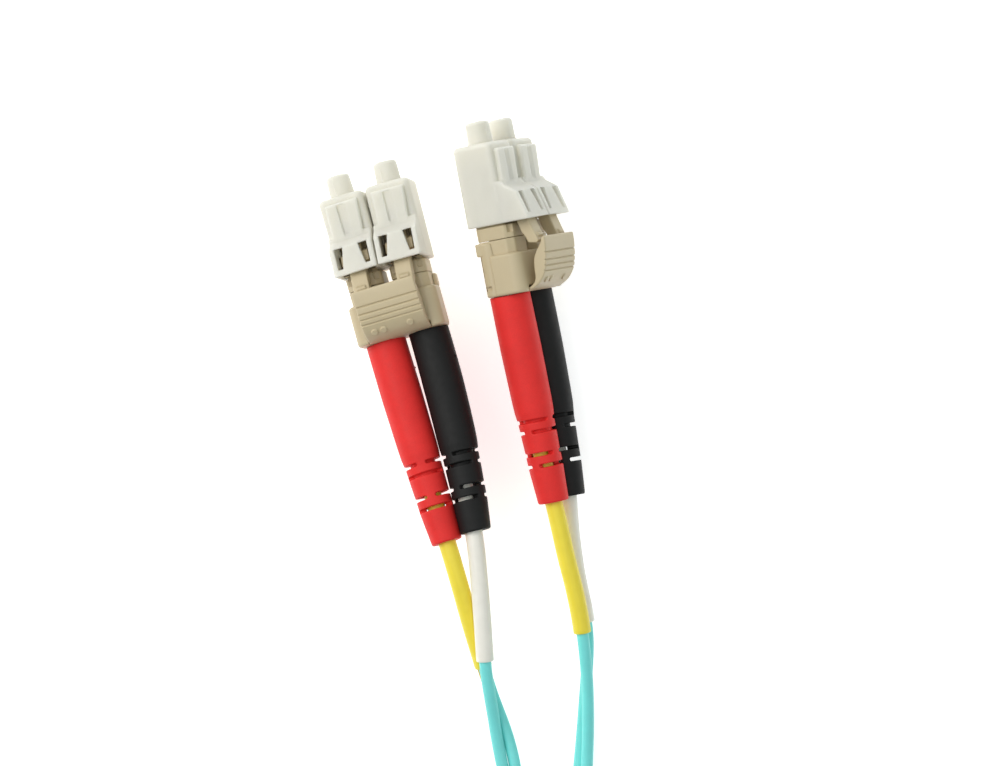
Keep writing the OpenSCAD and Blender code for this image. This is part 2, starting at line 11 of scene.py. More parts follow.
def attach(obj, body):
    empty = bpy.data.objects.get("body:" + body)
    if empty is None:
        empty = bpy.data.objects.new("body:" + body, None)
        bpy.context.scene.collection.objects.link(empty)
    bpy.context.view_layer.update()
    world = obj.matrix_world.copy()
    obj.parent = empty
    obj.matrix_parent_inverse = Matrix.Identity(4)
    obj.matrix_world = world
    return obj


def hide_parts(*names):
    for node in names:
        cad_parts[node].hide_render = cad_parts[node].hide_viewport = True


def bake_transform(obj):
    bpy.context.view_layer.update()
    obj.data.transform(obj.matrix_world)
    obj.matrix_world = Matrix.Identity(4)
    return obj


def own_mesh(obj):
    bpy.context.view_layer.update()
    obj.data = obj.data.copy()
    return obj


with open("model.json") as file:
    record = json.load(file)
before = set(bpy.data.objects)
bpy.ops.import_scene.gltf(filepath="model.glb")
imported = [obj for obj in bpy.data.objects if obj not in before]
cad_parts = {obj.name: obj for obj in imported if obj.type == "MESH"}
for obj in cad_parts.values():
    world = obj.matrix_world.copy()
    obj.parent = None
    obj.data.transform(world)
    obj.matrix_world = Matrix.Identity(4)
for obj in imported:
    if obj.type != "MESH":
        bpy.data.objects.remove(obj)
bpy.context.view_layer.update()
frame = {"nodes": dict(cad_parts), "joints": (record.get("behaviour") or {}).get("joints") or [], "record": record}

MM = 0.001
JOINTS = {j["name"]: j for j in frame["joints"]}
ENDS = ("left", "right")
SIDES = {"a": -1, "b": 1}      # side of each plug along an end's x axis

# Lengths in mm. A plug's frame has z toward its tip and y toward its latch. An end's frame lies midway
# between its two plugs, with z = 0 at the back of the clip.
PLUG_PITCH = 6.25
PLUG_TOE = math.radians(1.1)   # how far each plug leans outward
PLUG_HALF = 2.7                # half the width of a plug's body
NOSE_HALF = 2.26               # half the width of the square nose
LATCH_PIVOT = (2.62, 17.3)     # y, z in the plug's frame
TRIGGER_PIVOT = (2.9, 0.22)    # y, z in the end's frame
TRIGGER_HALF = 4.68
CLIP_HALF = 6.63
CLEAR = 0.07                   # room between the clip and the trigger that moves in it
CAP_HALF = 3.3
CAP_WALL = 0.66
SPRING_TURNS = 7
BOOT_LEN = 30.2
BOOT_LEAN = math.radians(1.79)
SLOT_HALF = 0.26               # half the height of a boot's flex slot
WEB_HALF = 0.62                # half the width of the web between two flex slots
CORD_R = 0.81                  # radius of each cord of the pair
LEG_R = 0.88                   # radius of a single cord in front of the split
SLEEVE_R = (1.28, 0.93)        # outer and inner radius
FIBRE_LEAD = 21.0              # the fibre runs this far ahead of the jacket's front end
SEAM_BACK = 6.0                # the right cord's skin ends this far beyond its split

# How far each boot is turned about its own axis, degrees
BOOT_TURN = {"left_a": -31, "left_b": 6, "right_a": 35, "right_b": -9}
# How much longer each boot is than BOOT_LEN
BOOT_MORE = {"left_a": -0.35, "left_b": 0.0, "right_a": 0.0, "right_b": 0.3}
# How each boot lies aside: at the clip, how much more at its far end, and its bow halfway
BOOT_BOW = {"left_a": (0.25, -0.15, 0.42), "left_b": (0.03, 0.0, -0.05),
            "right_a": (0.3, 0.55, 0.1), "right_b": (0.02, 0.38, -0.05)}
# How each cord wanders aside: at this distance behind the clip, over this length, this far
CORD_SWAY = {"left_a": ((36, 6.5, -0.53), (53.5, 4.5, 0.28)),
             "left_b": ((48, 9.5, 0.5),),
             "right_a": ((29, 5, 0.6), (41.5, 4.5, -0.32), (51, 4, 0.22), (64, 9, 0.24)),
             "right_b": ((33, 7, 0.45), (64, 9, 0.24))}
# How much longer each sleeve runs than in the CAD
SLEEVE_MORE = {"left_a": -0.66, "left_b": -0.9, "right_a": 0.4, "right_b": -0.27}

# Fineness of the meshes, mm
CELL = 0.085   # cell of the grid on which a moulded part is meshed
STEP = 0.6      # distance between the rings of a cord
LINE_STEP = 0.5                        # distance between the points of a cord's centre line
RING_LINK = 0.45                       # vertices of one CAD ring are closer together than this
KEEP_FACES = 0.35                      # share of a moulded part's faces that is kept


# ---------- frames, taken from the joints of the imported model


class Place:
    """An origin in mm and three axes in the row's frame."""

    def __init__(self, origin, x, z):
        self.o = np.array(origin, float)
        self.x = unit(x)
        self.z = unit(np.array(z, float) - np.dot(z, self.x) * self.x)
        self.y = np.cross(self.z, self.x)

    def point(self, p):
        return self.o + p[0] * self.x + p[1] * self.y + p[2] * self.z

    def along(self, points):
        """Height of each point along z, and its distance from the z axis."""
        offset = points - self.o
        z = offset @ self.z
        return z, np.linalg.norm(offset - z[:, None] * self.z, axis=1)

    def matrix(self):
        m = Matrix.Identity(4)
        for i in range(3):
            m[i][0], m[i][1], m[i][2], m[i][3] = self.x[i], self.y[i], self.z[i], self.o[i] * MM
        return m


def unit(v):
    v = np.array(v, float)
    return v / np.linalg.norm(v)


def plug_place(plug):
    flex = JOINTS[plug + "_latch_flex"]
    z = JOINTS[plug + "_dust_cap_pull"]["axis"]
    place = Place(np.array(flex["pos_m"]) / MM, -np.array(flex["axis"]), z)
    place.o = place.point((0, -LATCH_PIVOT[0], -LATCH_PIVOT[1]))
    return place


def end_place(end):
    press = JOINTS[end + "_trigger_press"]
    z = sum(np.array(JOINTS[f"{end}_{s}_dust_cap_pull"]["axis"]) for s in SIDES)
    place = Place(np.array(press["pos_m"]) / MM, press["axis"], z)
    place.o = place.point((0, -TRIGGER_PIVOT[0], -TRIGGER_PIVOT[1]))
    return place


def boot_place(end, side):
    e = end_place(end)
    s = SIDES[side]
    c, k = math.cos(BOOT_LEAN), math.sin(BOOT_LEAN) * s
    return Place(e.point((s * PLUG_PITCH / 2, 0, 0)), c * e.x - k * e.z, c * e.z + k * e.x)


# ---------- distance fields: a moulded part is a sum of rounded solids, meshed as one skin


class Field:
    """Distances on a grid of CELL-sized cells around a box given in mm."""

    def __init__(self, low, high):
        self.low = np.array(low, float) - 3 * CELL
        n = np.ceil((np.array(high, float) + 3 * CELL - self.low) / CELL).astype(int)
        axes = [self.low[i] + CELL * np.arange(n[i] + 1) for i in range(3)]
        self.x = axes[0][:, None, None]
        self.y = axes[1][None, :, None]
        self.z = axes[2][None, None, :]
        self.d = np.full([len(a) for a in axes], 1e3, np.float32)

    def add(self, d, k=0.0):
        """Adds a solid, with a fillet of about k where it meets the rest."""
        self.d = smooth_min(self.d, d, k)

    def cut(self, d, k=0.0):
        """Takes a solid away, with edges softened by about k."""
        self.d = -smooth_min(-self.d, d, k)


def smooth_min(a, b, k):
    if k <= 0:
        return np.minimum(a, b)
    h = np.clip(k - np.abs(a - b), 0, None) / k
    return np.minimum(a, b) - h * h * k * 0.25


def both(a, b, k=0.0):
    """Where two solids overlap."""
    return -smooth_min(-a, -b, k)


def span(v, lo, hi):
    """Distance to the slab between lo and hi."""
    return np.abs(v - (lo + hi) / 2) - (hi - lo) / 2


def rounded(d1, d2, r):
    """Where two slabs meet, with the edge between them rounded by r."""
    a, b = d1 + r, d2 + r
    return np.minimum(np.maximum(a, b), 0) + np.hypot(np.maximum(a, 0), np.maximum(b, 0)) - r


def block(f, lo, hi, r=0.12):
    """Box between two corners, with edges rounded by r."""
    a = [span(v, lo[i], hi[i]) + r for i, v in enumerate((f.x, f.y, f.z))]
    inside = np.minimum(np.maximum(np.maximum(a[0], a[1]), a[2]), 0)
    out = np.sqrt(sum(np.maximum(v, 0) ** 2 for v in a))
    return inside + out - r


def outline(u, v, points):
    """Signed distance to a closed polygon in the plane of u and v."""
    pts = np.array(points, float)
    best = np.full(np.broadcast(u, v).shape, 1e9)
    sign = np.ones(best.shape)
    for a, b in zip(pts, np.roll(pts, -1, axis=0)):
        e = b - a
        wx, wy = u - a[0], v - a[1]
        t = np.clip((wx * e[0] + wy * e[1]) / (e @ e), 0, 1)
        best = np.minimum(best, (wx - t * e[0]) ** 2 + (wy - t * e[1]) ** 2)
        c1, c2 = v >= a[1], v < b[1]
        c3 = e[0] * wy > e[1] * wx
        flip = (c1 & c2 & c3) | (~c1 & ~c2 & ~c3)
        sign = np.where(flip, -sign, sign)
    return sign * np.sqrt(best)


def side_bar(f, half, points, r):
    """Outline in y and z, carried across x from -half to half."""
    return rounded(outline(f.y, f.z, points), np.abs(f.x) - half, r)


def rrect(f, x0, y0, x1, y1, r):
    """Bar along z, a rectangle in x and y with corners rounded by r."""
    a, b = span(f.x, x0, x1) + r, span(f.y, y0, y1) + r
    return np.minimum(np.maximum(a, b), 0) + np.hypot(np.maximum(a, 0), np.maximum(b, 0)) - r


def rod(f, r, z0, z1, edge=0.05):
    """Round rod along z."""
    return rounded(np.hypot(f.x, f.y) - r, span(f.z, z0, z1), edge)


def cross_rod(f, half, y, z, r, edge=0.1):
    """Round rod along x, from -half to half."""
    return rounded(np.hypot(f.y - y, f.z - z) - r, np.abs(f.x) - half, edge)


def skin(f):
    """Surface nets: one vertex in each cell the surface crosses, one quad for each crossed edge."""
    v = f.d
    neg = v < 0
    corners = [(i, j, k) for i in (0, 1) for j in (0, 1) for k in (0, 1)]
    n = [s - 1 for s in v.shape]
    count = sum(neg[i:i + n[0], j:j + n[1], k:k + n[2]].astype(np.int8) for i, j, k in corners)
    cells = np.argwhere((count > 0) & (count < 8))
    index = np.full(n, -1, np.int64)
    index[tuple(cells.T)] = np.arange(len(cells))
    value = {c: v[tuple((cells + c).T)] for c in corners}
    total = np.zeros((len(cells), 3))
    hits = np.zeros(len(cells))
    for c in corners:
        for axis in range(3):
            if c[axis]:
                continue
            e = list(c)
            e[axis] = 1
            a, b = value[c], value[tuple(e)]
            cross = (a < 0) != (b < 0)
            t = np.where(cross, a / np.where(cross, a - b, 1), 0)
            p = np.array(c, float)[None, :].repeat(len(cells), 0)
            p[:, axis] += t
            total += p * cross[:, None]
            hits += cross
    verts = f.low + CELL * (cells + total / hits[:, None])
    quads = []
    for axis in range(3):
        lo = [slice(1, s) for s in n]
        lo[axis] = slice(0, n[axis])
        hi = list(lo)
        hi[axis] = slice(1, n[axis] + 1)
        a, b = neg[tuple(lo)], neg[tuple(hi)]
        at = np.argwhere(a != b) + [0 if i == axis else 1 for i in range(3)]
        inward = b[a != b]
        u, w = [i for i in range(3) if i != axis]
        du, dw = np.eye(3, dtype=int)[u], np.eye(3, dtype=int)[w]
        ring = [index[tuple(q.T)] for q in (at - du - dw, at - dw, at, at - du)]
        quad = np.stack(ring, 1)
        if axis == 1:
            inward = ~inward
        quad[inward] = quad[inward][:, ::-1]
        quads.append(quad)
    return verts, np.concatenate(quads)


def mesh_from(name, verts, faces):
    """Mesh from arrays in mm; faces all have the same number of corners."""
    mesh = bpy.data.meshes.new(name)
    n = faces.shape[1]
    mesh.vertices.add(len(verts))
    mesh.vertices.foreach_set("co", (np.asarray(verts) * MM).astype(np.float32).ravel())
    mesh.loops.add(faces.size)
    mesh.loops.foreach_set("vertex_index", faces.astype(np.int32).ravel())
    mesh.polygons.add(len(faces))
    mesh.polygons.foreach_set("loop_start", np.arange(0, faces.size, n, dtype=np.int32))
    mesh.polygons.foreach_set("use_smooth", np.ones(len(faces), bool))
    mesh.update(calc_edges=True)
    return mesh


def linked(name, data):
    """New object in the scene."""
    obj = bpy.data.objects.new(name, data)
    bpy.context.scene.collection.objects.link(obj)
    return obj


def thin(mesh):
    """Fewer faces where the skin is flat, with the shape kept."""
    obj = linked("thin", mesh)
    mod = obj.modifiers.new("thin", "DECIMATE")
    mod.ratio = KEEP_FACES
    depsgraph = bpy.context.evaluated_depsgraph_get()
    out = bpy.data.meshes.new_from_object(obj.evaluated_get(depsgraph))
    out.name = mesh.name
    bpy.data.objects.remove(obj)
    bpy.data.meshes.remove(mesh)
    return out


def moulded(name, field, slot):
    """Mesh of a moulded part, with its material."""
    mesh = mesh_from(name, *skin(field))
    mesh = thin(mesh)
    mesh.polygons.foreach_set("use_smooth", np.ones(len(mesh.polygons), bool))
    mesh.materials.append(MATERIALS[slot])
    return mesh


def put(name, mesh, body, node, place=None):
    """Piece that moves with a body and shows in place of a CAD node."""
    obj = linked(name, mesh)
    if place is not None:
        obj.matrix_world = place.matrix()
    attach(obj, body)
    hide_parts(node)
    return obj


# ---------- moulded parts of a plug, in the plug's frame


def dust_cap_field():
    """Square cap with a nub, a raised panel in front of the latch and a flared, windowed skirt."""
    rear, front, tip = 10.3, 22.1, 25.3
    f = Field((-3.35, -3.25, 10.2), (3.35, 7.4, 25.4))
    f.add(rounded(rrect(f, -CAP_HALF, -3.2, CAP_HALF, 3.12, 0.8), span(f.z, rear - 1.3, front), 0.7))
    # nub, with the mould's parting line down its front
    r = 1.7 + 0.1 * np.clip((tip - f.z) / 3.3, 0, 1)
    nub = rounded(np.hypot(f.x, f.y) - r, span(f.z, 21, tip), 0.42)
    f.add(nub, 0.4)
    f.add(both(both(nub - 0.09, np.abs(f.x - 0.55) - 0.1, 0.05), -f.y), 0.04)
    # raised panel, slightly askew, with a shallow channel down the middle
    left = -2.5 + (20.7 - f.z) * 0.08
    right = 2.45 + (20.7 - f.z) * 0.027
    panel = rounded(np.maximum(left - f.x, f.x - right), span(f.y, 1, 3.93), 0.36)
    panel = rounded(panel, span(f.z, 14, 21.05), 0.36)
    f.add(panel, 0.16)
    channel = both(span(f.x, -0.55, 0.68), 3.7 - f.y + 0.22 * (0.1 - f.x), 0.2)
    f.cut(both(channel, span(f.z, 15.0, 20.75), 0.25), 0.14)
    # skirt: its side outline flares out over the latch
    flare = [(2, 9), (7.35, 9), (7.1, 10.3), (6.77, 11.4), (5.9, 14.4), (5.15, 14.98), (4.2, 15.55),
             (3.72, 16.3), (2, 16.3)]
    f.add(side_bar(f, 3.25, flare, 0.3), 0.22)
    # room inside for the nose, the ferrule and the latch
    w = CAP_WALL
    inner = [(2, 9), (6.9 - w, 9), (6.67 - w, 11.4), (5.8 - w, 14.2), (5.07 - w, 14.7), (4.16 - w, 15.2),
             (3.1, 15.9), (2, 15.9)]
    f.cut(block(f, (-2.34, -2.34, 8), (2.34, 2.34, 18.95), 0.2))
    f.cut(rod(f, 1.2, 18, 21.3))
    f.cut(side_bar(f, 2.6, inner, 0.1), 0.1)
    f.cut(block(f, (-1.45, 1.5, 9), (1.45, 3.15, 17.85), 0.1))
    # windows beside the latch
    for side in (-1, 1):
        edge = [(side * 1.15, 14.4), (side * 2.5, 14.4), (side * 2.45, 11.2), (side * 1.68, 11.2)]
        f.cut(both(outline(f.x, f.z, edge), 4.3 - f.y), 0.06)
    f.cut(f.z - rear, 0.22)
    return f


def chamfer(u, v, reach):
    """Distance past the diagonal plane where |u| + v is reach."""
    return (np.abs(u) + v - reach) * math.sqrt(0.5)


def plug_body(f, z0, z1):
    """Body of a plug: round at the back, chamfered beside the latch."""
    w = PLUG_HALF
    body = both(rrect(f, -w, -2.3, w, 3.4, 0.3), rrect(f, -w, -2.3, w, 5, 0.9))
    body = both(body, chamfer(f.x, f.y, 5.1), 0.2)
    return rounded(body, span(f.z, z0, z1), 0.09)


def plug_housing_field():
    """Front housing: a slice of the plug's body and the square nose, bored for ferrule and spring."""
    f = Field((-2.75, -2.35, 8.0), (2.75, 3.45, 18.8))
    f.add(plug_body(f, 8.13, 10.05))
    w = NOSE_HALF
    f.add(rounded(rrect(f, -w, -w, w, w, 0.35), span(f.z, 9, 18.7), 0.2), 0.15)
    f.cut(rod(f, 1.5, 6, 15.7))
    f.cut(rod(f, 0.67, 6, 20))
    f.cut(rod(f, 1.55, 16.1, 20, edge=0.0), 0.12)
    f.cut(block(f, (-1.45, 2.0, 10.4), (1.45, 4, 16.7), 0.1), 0.08)
    for side in (-1, 1):
        # keyway on the side of the nose
        x = side * NOSE_HALF
        f.cut(block(f, (x - 0.2, -1.1, 12.5), (x + 0.2, 0.9, 20), 0.08), 0.06)
        # step beside the latch's slot, then a guide rail beside the latch
        x = side * 1.95
        f.cut(block(f, (x - 0.35, 2.75, 8.9), (x + 0.35, 4, 12), 0.06), 0.05)
        x = side * 1.97
        f.add(block(f, (x - 0.51, 1.8, 10.45), (x + 0.51, 4.0, 13.3)), 0.1)
    return f


def rear_housing_field():
    """Rear housing: the rest of the plug's body, with a spigot that enters the front housing."""
    f = Field((-2.75, -2.35, 0.3), (2.75, 3.45, 8.8))
    f.add(plug_body(f, 0.66, 8.07))
    f.add(rod(f, 1.45, 7, 8.7))
    f.cut(rod(f, 1.3, -1, 5.6))
    f.cut(rod(f, 0.8, -1, 20))
    return f


def latch_field():
    """Cantilever arm: slender root at the nose, catching shoulders, thick tail with a round grip."""
    arm = [(2.36, 17.3), (2.36, 14.4), (3.1, 12.2), (3.96, 10.2), (4.44, 8.5), (4.81, 7.9), (5.2, 6.85),
           (6.5, 6.66), (6.86, 6.95), (6.35, 8.6), (5.82, 10.35), (5.35, 11.7), (3.95, 14.4),
           (3.2, 15.2), (2.88, 17.3)]
    f = Field((-2.1, 2.3, 6.5), (2.1, 7.0, 17.6))
    f.add(side_bar(f, 1.22, arm, 0.16))
    f.add(side_bar(f, 2.05, [(3.45, 11.4), (5.25, 11.7), (4.6, 13.2), (3.45, 13.6)], 0.1), 0.12)
    f.add(cross_rod(f, 1.2, *LATCH_PIVOT, 0.26))
    f.add(cross_rod(f, 0.75, 6.46, 7.75, 0.42, 0.2), 0.15)
    return f


# ---------- clip and trigger, in the end's frame


def duplex_clip_field():
    """Band around both plugs: a low front, a taller back with an ear and a notch at each side."""
    f = Field((-6.8, -2.8, -0.05), (6.8, 4.3, 8.0))
    front = rounded(rrect(f, -CLIP_HALF, -2.2, CLIP_HALF, 4.25, 1.7), span(f.z, 0, 5.9), 0.4)
    f.add(both(front, -0.3 - f.y))
    back = CLIP_HALF - 0.2
    f.add(rounded(rrect(f, -back, -2.52, back, 0.6, 1.65), span(f.z, 0, 7.9), 0.35), 0.1)
    for side in (-1, 1):
        x = side * 5.85
        f.add(block(f, (x - 0.5, -2.5, 6.05), (x + 0.5, -1.15, 7.92), 0.22), 0.1)
        x = side * back
        f.cut(block(f, (x - 0.5, -3.8, 1.0), (x + 0.5, -0.9, 1.6), 0.08), 0.08)
    for side in (-1, 1):
        # pocket that follows the plug's body, leaning outward with it, and the boot's bore below
        u = f.x - side * (PLUG_PITCH / 2 + f.z * math.tan(PLUG_TOE))
        pocket = np.maximum(np.abs(u) - PLUG_HALF - 0.06, span(f.y, -2.36, 3.46))
        f.cut(both(both(pocket, chamfer(u, f.y, 5.19)), 0.45 - f.z), 0.06)
        f.cut(both(np.hypot(u, f.y) - 1.72, f.z - 3))
    # gap between the tall parts of the back
    f.cut(block(f, (-0.45, -4, 5.9), (0.45, 4, 12), 0.0), 0.05)
    # pocket for the trigger's root, deeper toward the front so that the trigger can be pressed
    side = TRIGGER_HALF + CLEAR
    root = block(f, (-side, 2.6, -1), (side, 6, 2), 0.1)
    f.cut(both(root, (f.z - 0.52 - 0.3 * (f.y - TRIGGER_PIVOT[0])) * 0.96), 0.1)
    return f


def curve_through(points, steps=8):
    """Closed smooth outline through the points."""
    p = np.array(points, float)
    out = []
    for i in range(len(p)):
        a, b, c, d = p[i - 1], p[i], p[(i + 1) % len(p)], p[(i + 2) % len(p)]
        for t in np.arange(steps) / steps:
            out.append(0.5 * (2 * b + (c - a) * t + (2 * a - 5 * b + 4 * c - d) * t ** 2
                              + (3 * b - a - 3 * c + d) * t ** 3))
    return out


def trigger_field():
    """Wide arm that bends up from the clip's rear edge, with grip grooves and raised marks."""
    arm = curve_through([(2.95, 0.02), (3.95, 0.0), (5.0, 0.34), (6.08, 1.02), (7.02, 2.18), (7.5, 3.45),
                         (7.82, 5.2), (7.95, 6.8), (7.88, 7.36), (7.55, 7.3), (7.05, 6.4), (6.2, 5.35),
                         (5.66, 4.3), (5.46, 3.0), (5.38, 1.9), (5.08, 1.13), (4.3, 0.62), (3.5, 0.44),
                         (2.95, 0.44)])
    f = Field((-4.75, 2.6, -0.05), (4.75, 8.1, 7.5))
    skin_d = outline(f.y, f.z, arm)
    f.add(rounded(skin_d, np.abs(f.x) - TRIGGER_HALF, 0.22))
    f.add(cross_rod(f, TRIGGER_HALF, *TRIGGER_PIVOT, 0.22))
    # grooves: thin slots of constant depth under the outer face
    for z, tilt in ((2.3, 22), (3.15, 14), (4.0, 11), (5.1, 8)):
        lean = math.radians(tilt)
        across = (f.z - z) * math.cos(lean) + (f.y - 7.5) * math.sin(lean)
        slot = both(np.abs(across) - 0.1, -(skin_d + 0.2), 0.05)
        f.cut(both(slot, 6.6 - f.y), 0.05)
    # raised discs that tell the plugs apart: one before plug A, two before plug B
    lean = math.radians(50)
    y, z = f.y - 6.3, f.z - 1.27
    along = y * math.cos(lean) + z * math.sin(lean)
    out = y * math.sin(lean) - z * math.cos(lean)
    for x in (-2.3, 1.75, 3.1):
        f.add(rounded(np.hypot(f.x - x, along) - 0.5, np.abs(out) - 0.24, 0.08), 0.04)
    return f


# ---------- boots


def boot_field(turn, more, bow, sway, aside):
    """Tapered sleeve of rubber with crossed pairs of flex slots, turned about its own axis.

    It is longer than BOOT_LEN by more. The functions bow and sway give how far the boot and its bore lie
    sideways at each depth, along aside.
    """
    tip = -BOOT_LEN - more
    profile = [(0.5, tip), (2.12, tip), (2.24, tip + 0.2), (2.52, -25.3), (2.53, -23.0), (2.6, -20.8),
               (2.64, -18.7), (2.72, -18.0), (2.83, -17.0), (2.88, -15.5), (2.97, -8), (2.93, 0), (0.5, 0)]
    bore = [(0, -32), (1.36, -32), (1.36, -27.0), (1.55, -26.4), (1.55, -21.9), (1.0, -21.4), (1.0, -14.6),
            (1.95, -13.6), (1.95, 2), (0, 2)]
    f = Field((-3.9, -3.9, tip), (3.9, 3.9, 0.1))
    depth = -f.z
    x, y = f.x - bow(depth) * aside[0], f.y - bow(depth) * aside[1]
    rho = np.hypot(x, y)
    f.add(around(rho, f.z, profile))
    c, s = math.cos(turn), math.sin(turn)
    u, v = c * x + s * y, c * y - s * x
    # height of each pair of slots, direction of the webs between them, radius at which they stop
    for z, w, core in ((-18.4, u, 1.85), (-20.0, v, 1.85), (-23.3, u, 0), (-25.0, v, 0)):
        slot = rounded(np.abs(f.z - z) - SLOT_HALF, WEB_HALF - np.abs(w), 0.24)
        f.cut(both(slot, core - rho), 0.12)
    hole_rho = np.hypot(f.x - sway(depth) * aside[0], f.y - sway(depth) * aside[1])
    f.cut(around(hole_rho, f.z, bore), 0.12)
    # gate mark on the side
    gate = np.sqrt((u + 2.84) ** 2 + (v + 0.9) ** 2 + (f.z + 4.6) ** 2)
    f.add(gate - 0.2, 0.1)
    return f


def around(rho, z, profile):
    """Signed distance to a turned solid; profile gives radius and height, rho the radius at each place."""
    radii = np.linspace(0, 6.6, 331)
    flat = outline(radii[:, None], z[0], profile)
    i = np.clip(rho / radii[1], 0, len(radii) - 2)
    k = i.astype(int)
    t = i - k
    height = np.broadcast_to(np.arange(z.size), rho.shape)
    return flat[k, height] * (1 - t) + flat[k + 1, height] * t


def level_aside(end):
    """Level direction across an end, toward its plug a."""
    e = end_place(end)
    aside = unit(np.cross(e.z, (0, 0, 1.0)))
    return -aside if aside @ e.x > 0 else aside


def bow_of(plug):
    """How far aside a plug's boot lies, as a function of the depth behind the clip."""
    start, more, bow = BOOT_BOW[plug]

    def aside(depth):
        part = depth / BOOT_LEN
        return start + more * part + 4 * bow * part * (1 - part)
    return aside


def sway_of(plug):
    """How far aside a plug's cord lies, as a function of the depth behind the clip."""
    def aside(depth):
        return sum(far * np.exp(-((depth - at) / length) ** 2) for at, length, far in CORD_SWAY[plug])
    return aside


def boots():
    for end in ENDS:
        aside = level_aside(end)
        for side in SIDES:
            plug = f"{end}_{side}"
            slot = "black_boot" if side == "a" else "red_boot"
            place = boot_place(end, side)
            field = boot_field(math.radians(BOOT_TURN[plug]), BOOT_MORE[plug], bow_of(plug), sway_of(plug),
                               (aside @ place.x, aside @ place.y))
            mesh = moulded(f"{plug}_boot", field, slot)
            put(f"{plug}_boot_rubber", mesh, f"{end}_end", f"{plug}_boot", place)


# ---------- sweeps along a line


def smooth_line(points, step=LINE_STEP):
    """Even points along a natural cubic curve through the given ones."""
    p = np.array(points, float)
    keep = np.r_[True, np.linalg.norm(np.diff(p, axis=0), axis=1) > 0.25]
    p = p[keep]
    t = np.r_[0, np.cumsum(np.linalg.norm(np.diff(p, axis=0), axis=1))]
    n = len(p)
    h = np.diff(t)
    lower, diag, upper = np.zeros(n), np.ones(n), np.zeros(n)
    rhs = np.zeros((n, 3))
    diag[1:-1] = 2 * (h[:-1] + h[1:])
    lower[1:-1], upper[1:-1] = h[:-1], h[1:]
    rhs[1:-1] = 6 * ((p[2:] - p[1:-1]) / h[1:, None] - (p[1:-1] - p[:-2]) / h[:-1, None])
    for i in range(1, n):
        k = lower[i] / diag[i - 1]
        diag[i] -= k * upper[i - 1]
        rhs[i] -= k * rhs[i - 1]
    bend = np.zeros((n, 3))
    bend[-1] = rhs[-1] / diag[-1]
    for i in range(n - 2, -1, -1):
        bend[i] = (rhs[i] - upper[i] * bend[i + 1]) / diag[i]
    at = np.linspace(0, t[-1], max(2, int(round(t[-1] / step)) + 1))
    i = np.clip(np.searchsorted(t, at, side="right") - 1, 0, n - 2)
    a, b, w = (t[i + 1] - at)[:, None], (at - t[i])[:, None], h[i][:, None]
    return (bend[i] * a ** 3 + bend[i + 1] * b ** 3) / (6 * w) \
        + (p[i] / w - bend[i] * w / 6) * a + (p[i + 1] / w - bend[i + 1] * w / 6) * b


def lengths(line):
    """Distance along a line at each of its points."""
    return np.r_[0, np.cumsum(np.linalg.norm(np.diff(line, axis=0), axis=1))]

def part_of(line, start, stop):
    """The part of a line between two distances along it."""
    t = lengths(line)
    at = np.r_[start, t[(t > start + 0.05) & (t < stop - 0.05)], stop]
    return np.stack([np.interp(at, t, line[:, i]) for i in range(3)], 1)


def frames(line, at, top=(0, 0, 1.0)):
    """Points of a line at the given distances, each with the direction across it and the one toward top."""
    t = lengths(line)
    ahead = np.gradient(line, axis=0)
    pick = [np.stack([np.interp(at, t, v[:, i]) for i in range(3)], 1) for v in (line, ahead)]
    ahead = pick[1] / np.linalg.norm(pick[1], axis=1)[:, None]
    across = np.cross(ahead, top)
    across /= np.linalg.norm(across, axis=1)[:, None]
    return pick[0], across, np.cross(across, ahead)


def sweep(name, line, at, section, closed=False, top=(0, 0, 1.0)):
    """Skin of a section carried along a line: one ring of 2D points for each distance in at.

    Its UV map holds the place around the section and the distance along the line.
    """
    centre, across, up = frames(line, at, top)
    section = np.broadcast_to(section, (len(at),) + section.shape[-2:])
    verts = centre[:, None] + section[:, :, :1] * across[:, None] + section[:, :, 1:] * up[:, None]
    n, k = section.shape[:2]
    i, j = np.meshgrid(np.arange(n if closed else n - 1), np.arange(k), indexing="ij")
    a, b = i * k + j, i * k + (j + 1) % k
    c, d = (i + 1) % n * k + j, (i + 1) % n * k + (j + 1) % k
    mesh = mesh_from(name, verts.reshape(-1, 3), np.stack([a, c, d, b], -1).reshape(-1, 4))
    near, far = at[i], at[(i + 1) % n]
    uv = [np.stack([j / k, near], -1), np.stack([j / k, far], -1),
          np.stack([(j + 1) / k, far], -1), np.stack([(j + 1) / k, near], -1)]
    layer = mesh.uv_layers.new(name="along")
    layer.uv.foreach_set("vector", np.stack(uv, -2).reshape(-1).astype(np.float32))
    if not closed:
        bm = bmesh.new()
        bm.from_mesh(mesh)
        bmesh.ops.holes_fill(bm, edges=[e for e in bm.edges if e.is_boundary])
        bm.to_mesh(mesh)
        bm.free()
    return mesh


def circle(count, radius):
    """A ring of points for each radius."""
    a = 2 * np.pi * np.arange(count) / count
    return np.stack([np.cos(a), np.sin(a)], 1) * np.reshape(radius, (-1, 1, 1))


def pair_section(radius, pitch, web_half, count=26):
    """Outline of the flat pair: two rounds whose facing sides run into a thin web."""
    fillet = (pitch ** 2 / 4 + web_half ** 2 - radius ** 2) / (2 * (radius - web_half))
    lift = web_half + fillet
    lobe = math.atan2(lift, -pitch / 2)
    side = math.atan2(lift, pitch / 2)
    half = [(pitch / 2 + radius * math.cos(a), radius * math.sin(a))
            for a in np.linspace(-lobe, lobe, count)]
    half += [(fillet * math.cos(a), lift - fillet * math.sin(a))
             for a in np.linspace(side, math.pi - side, 6)[1:-1]]
    half = np.array(half)
    return np.concatenate([half, -half])


# ---------- cords: their routes are read back from the CAD fibres that run down their middles


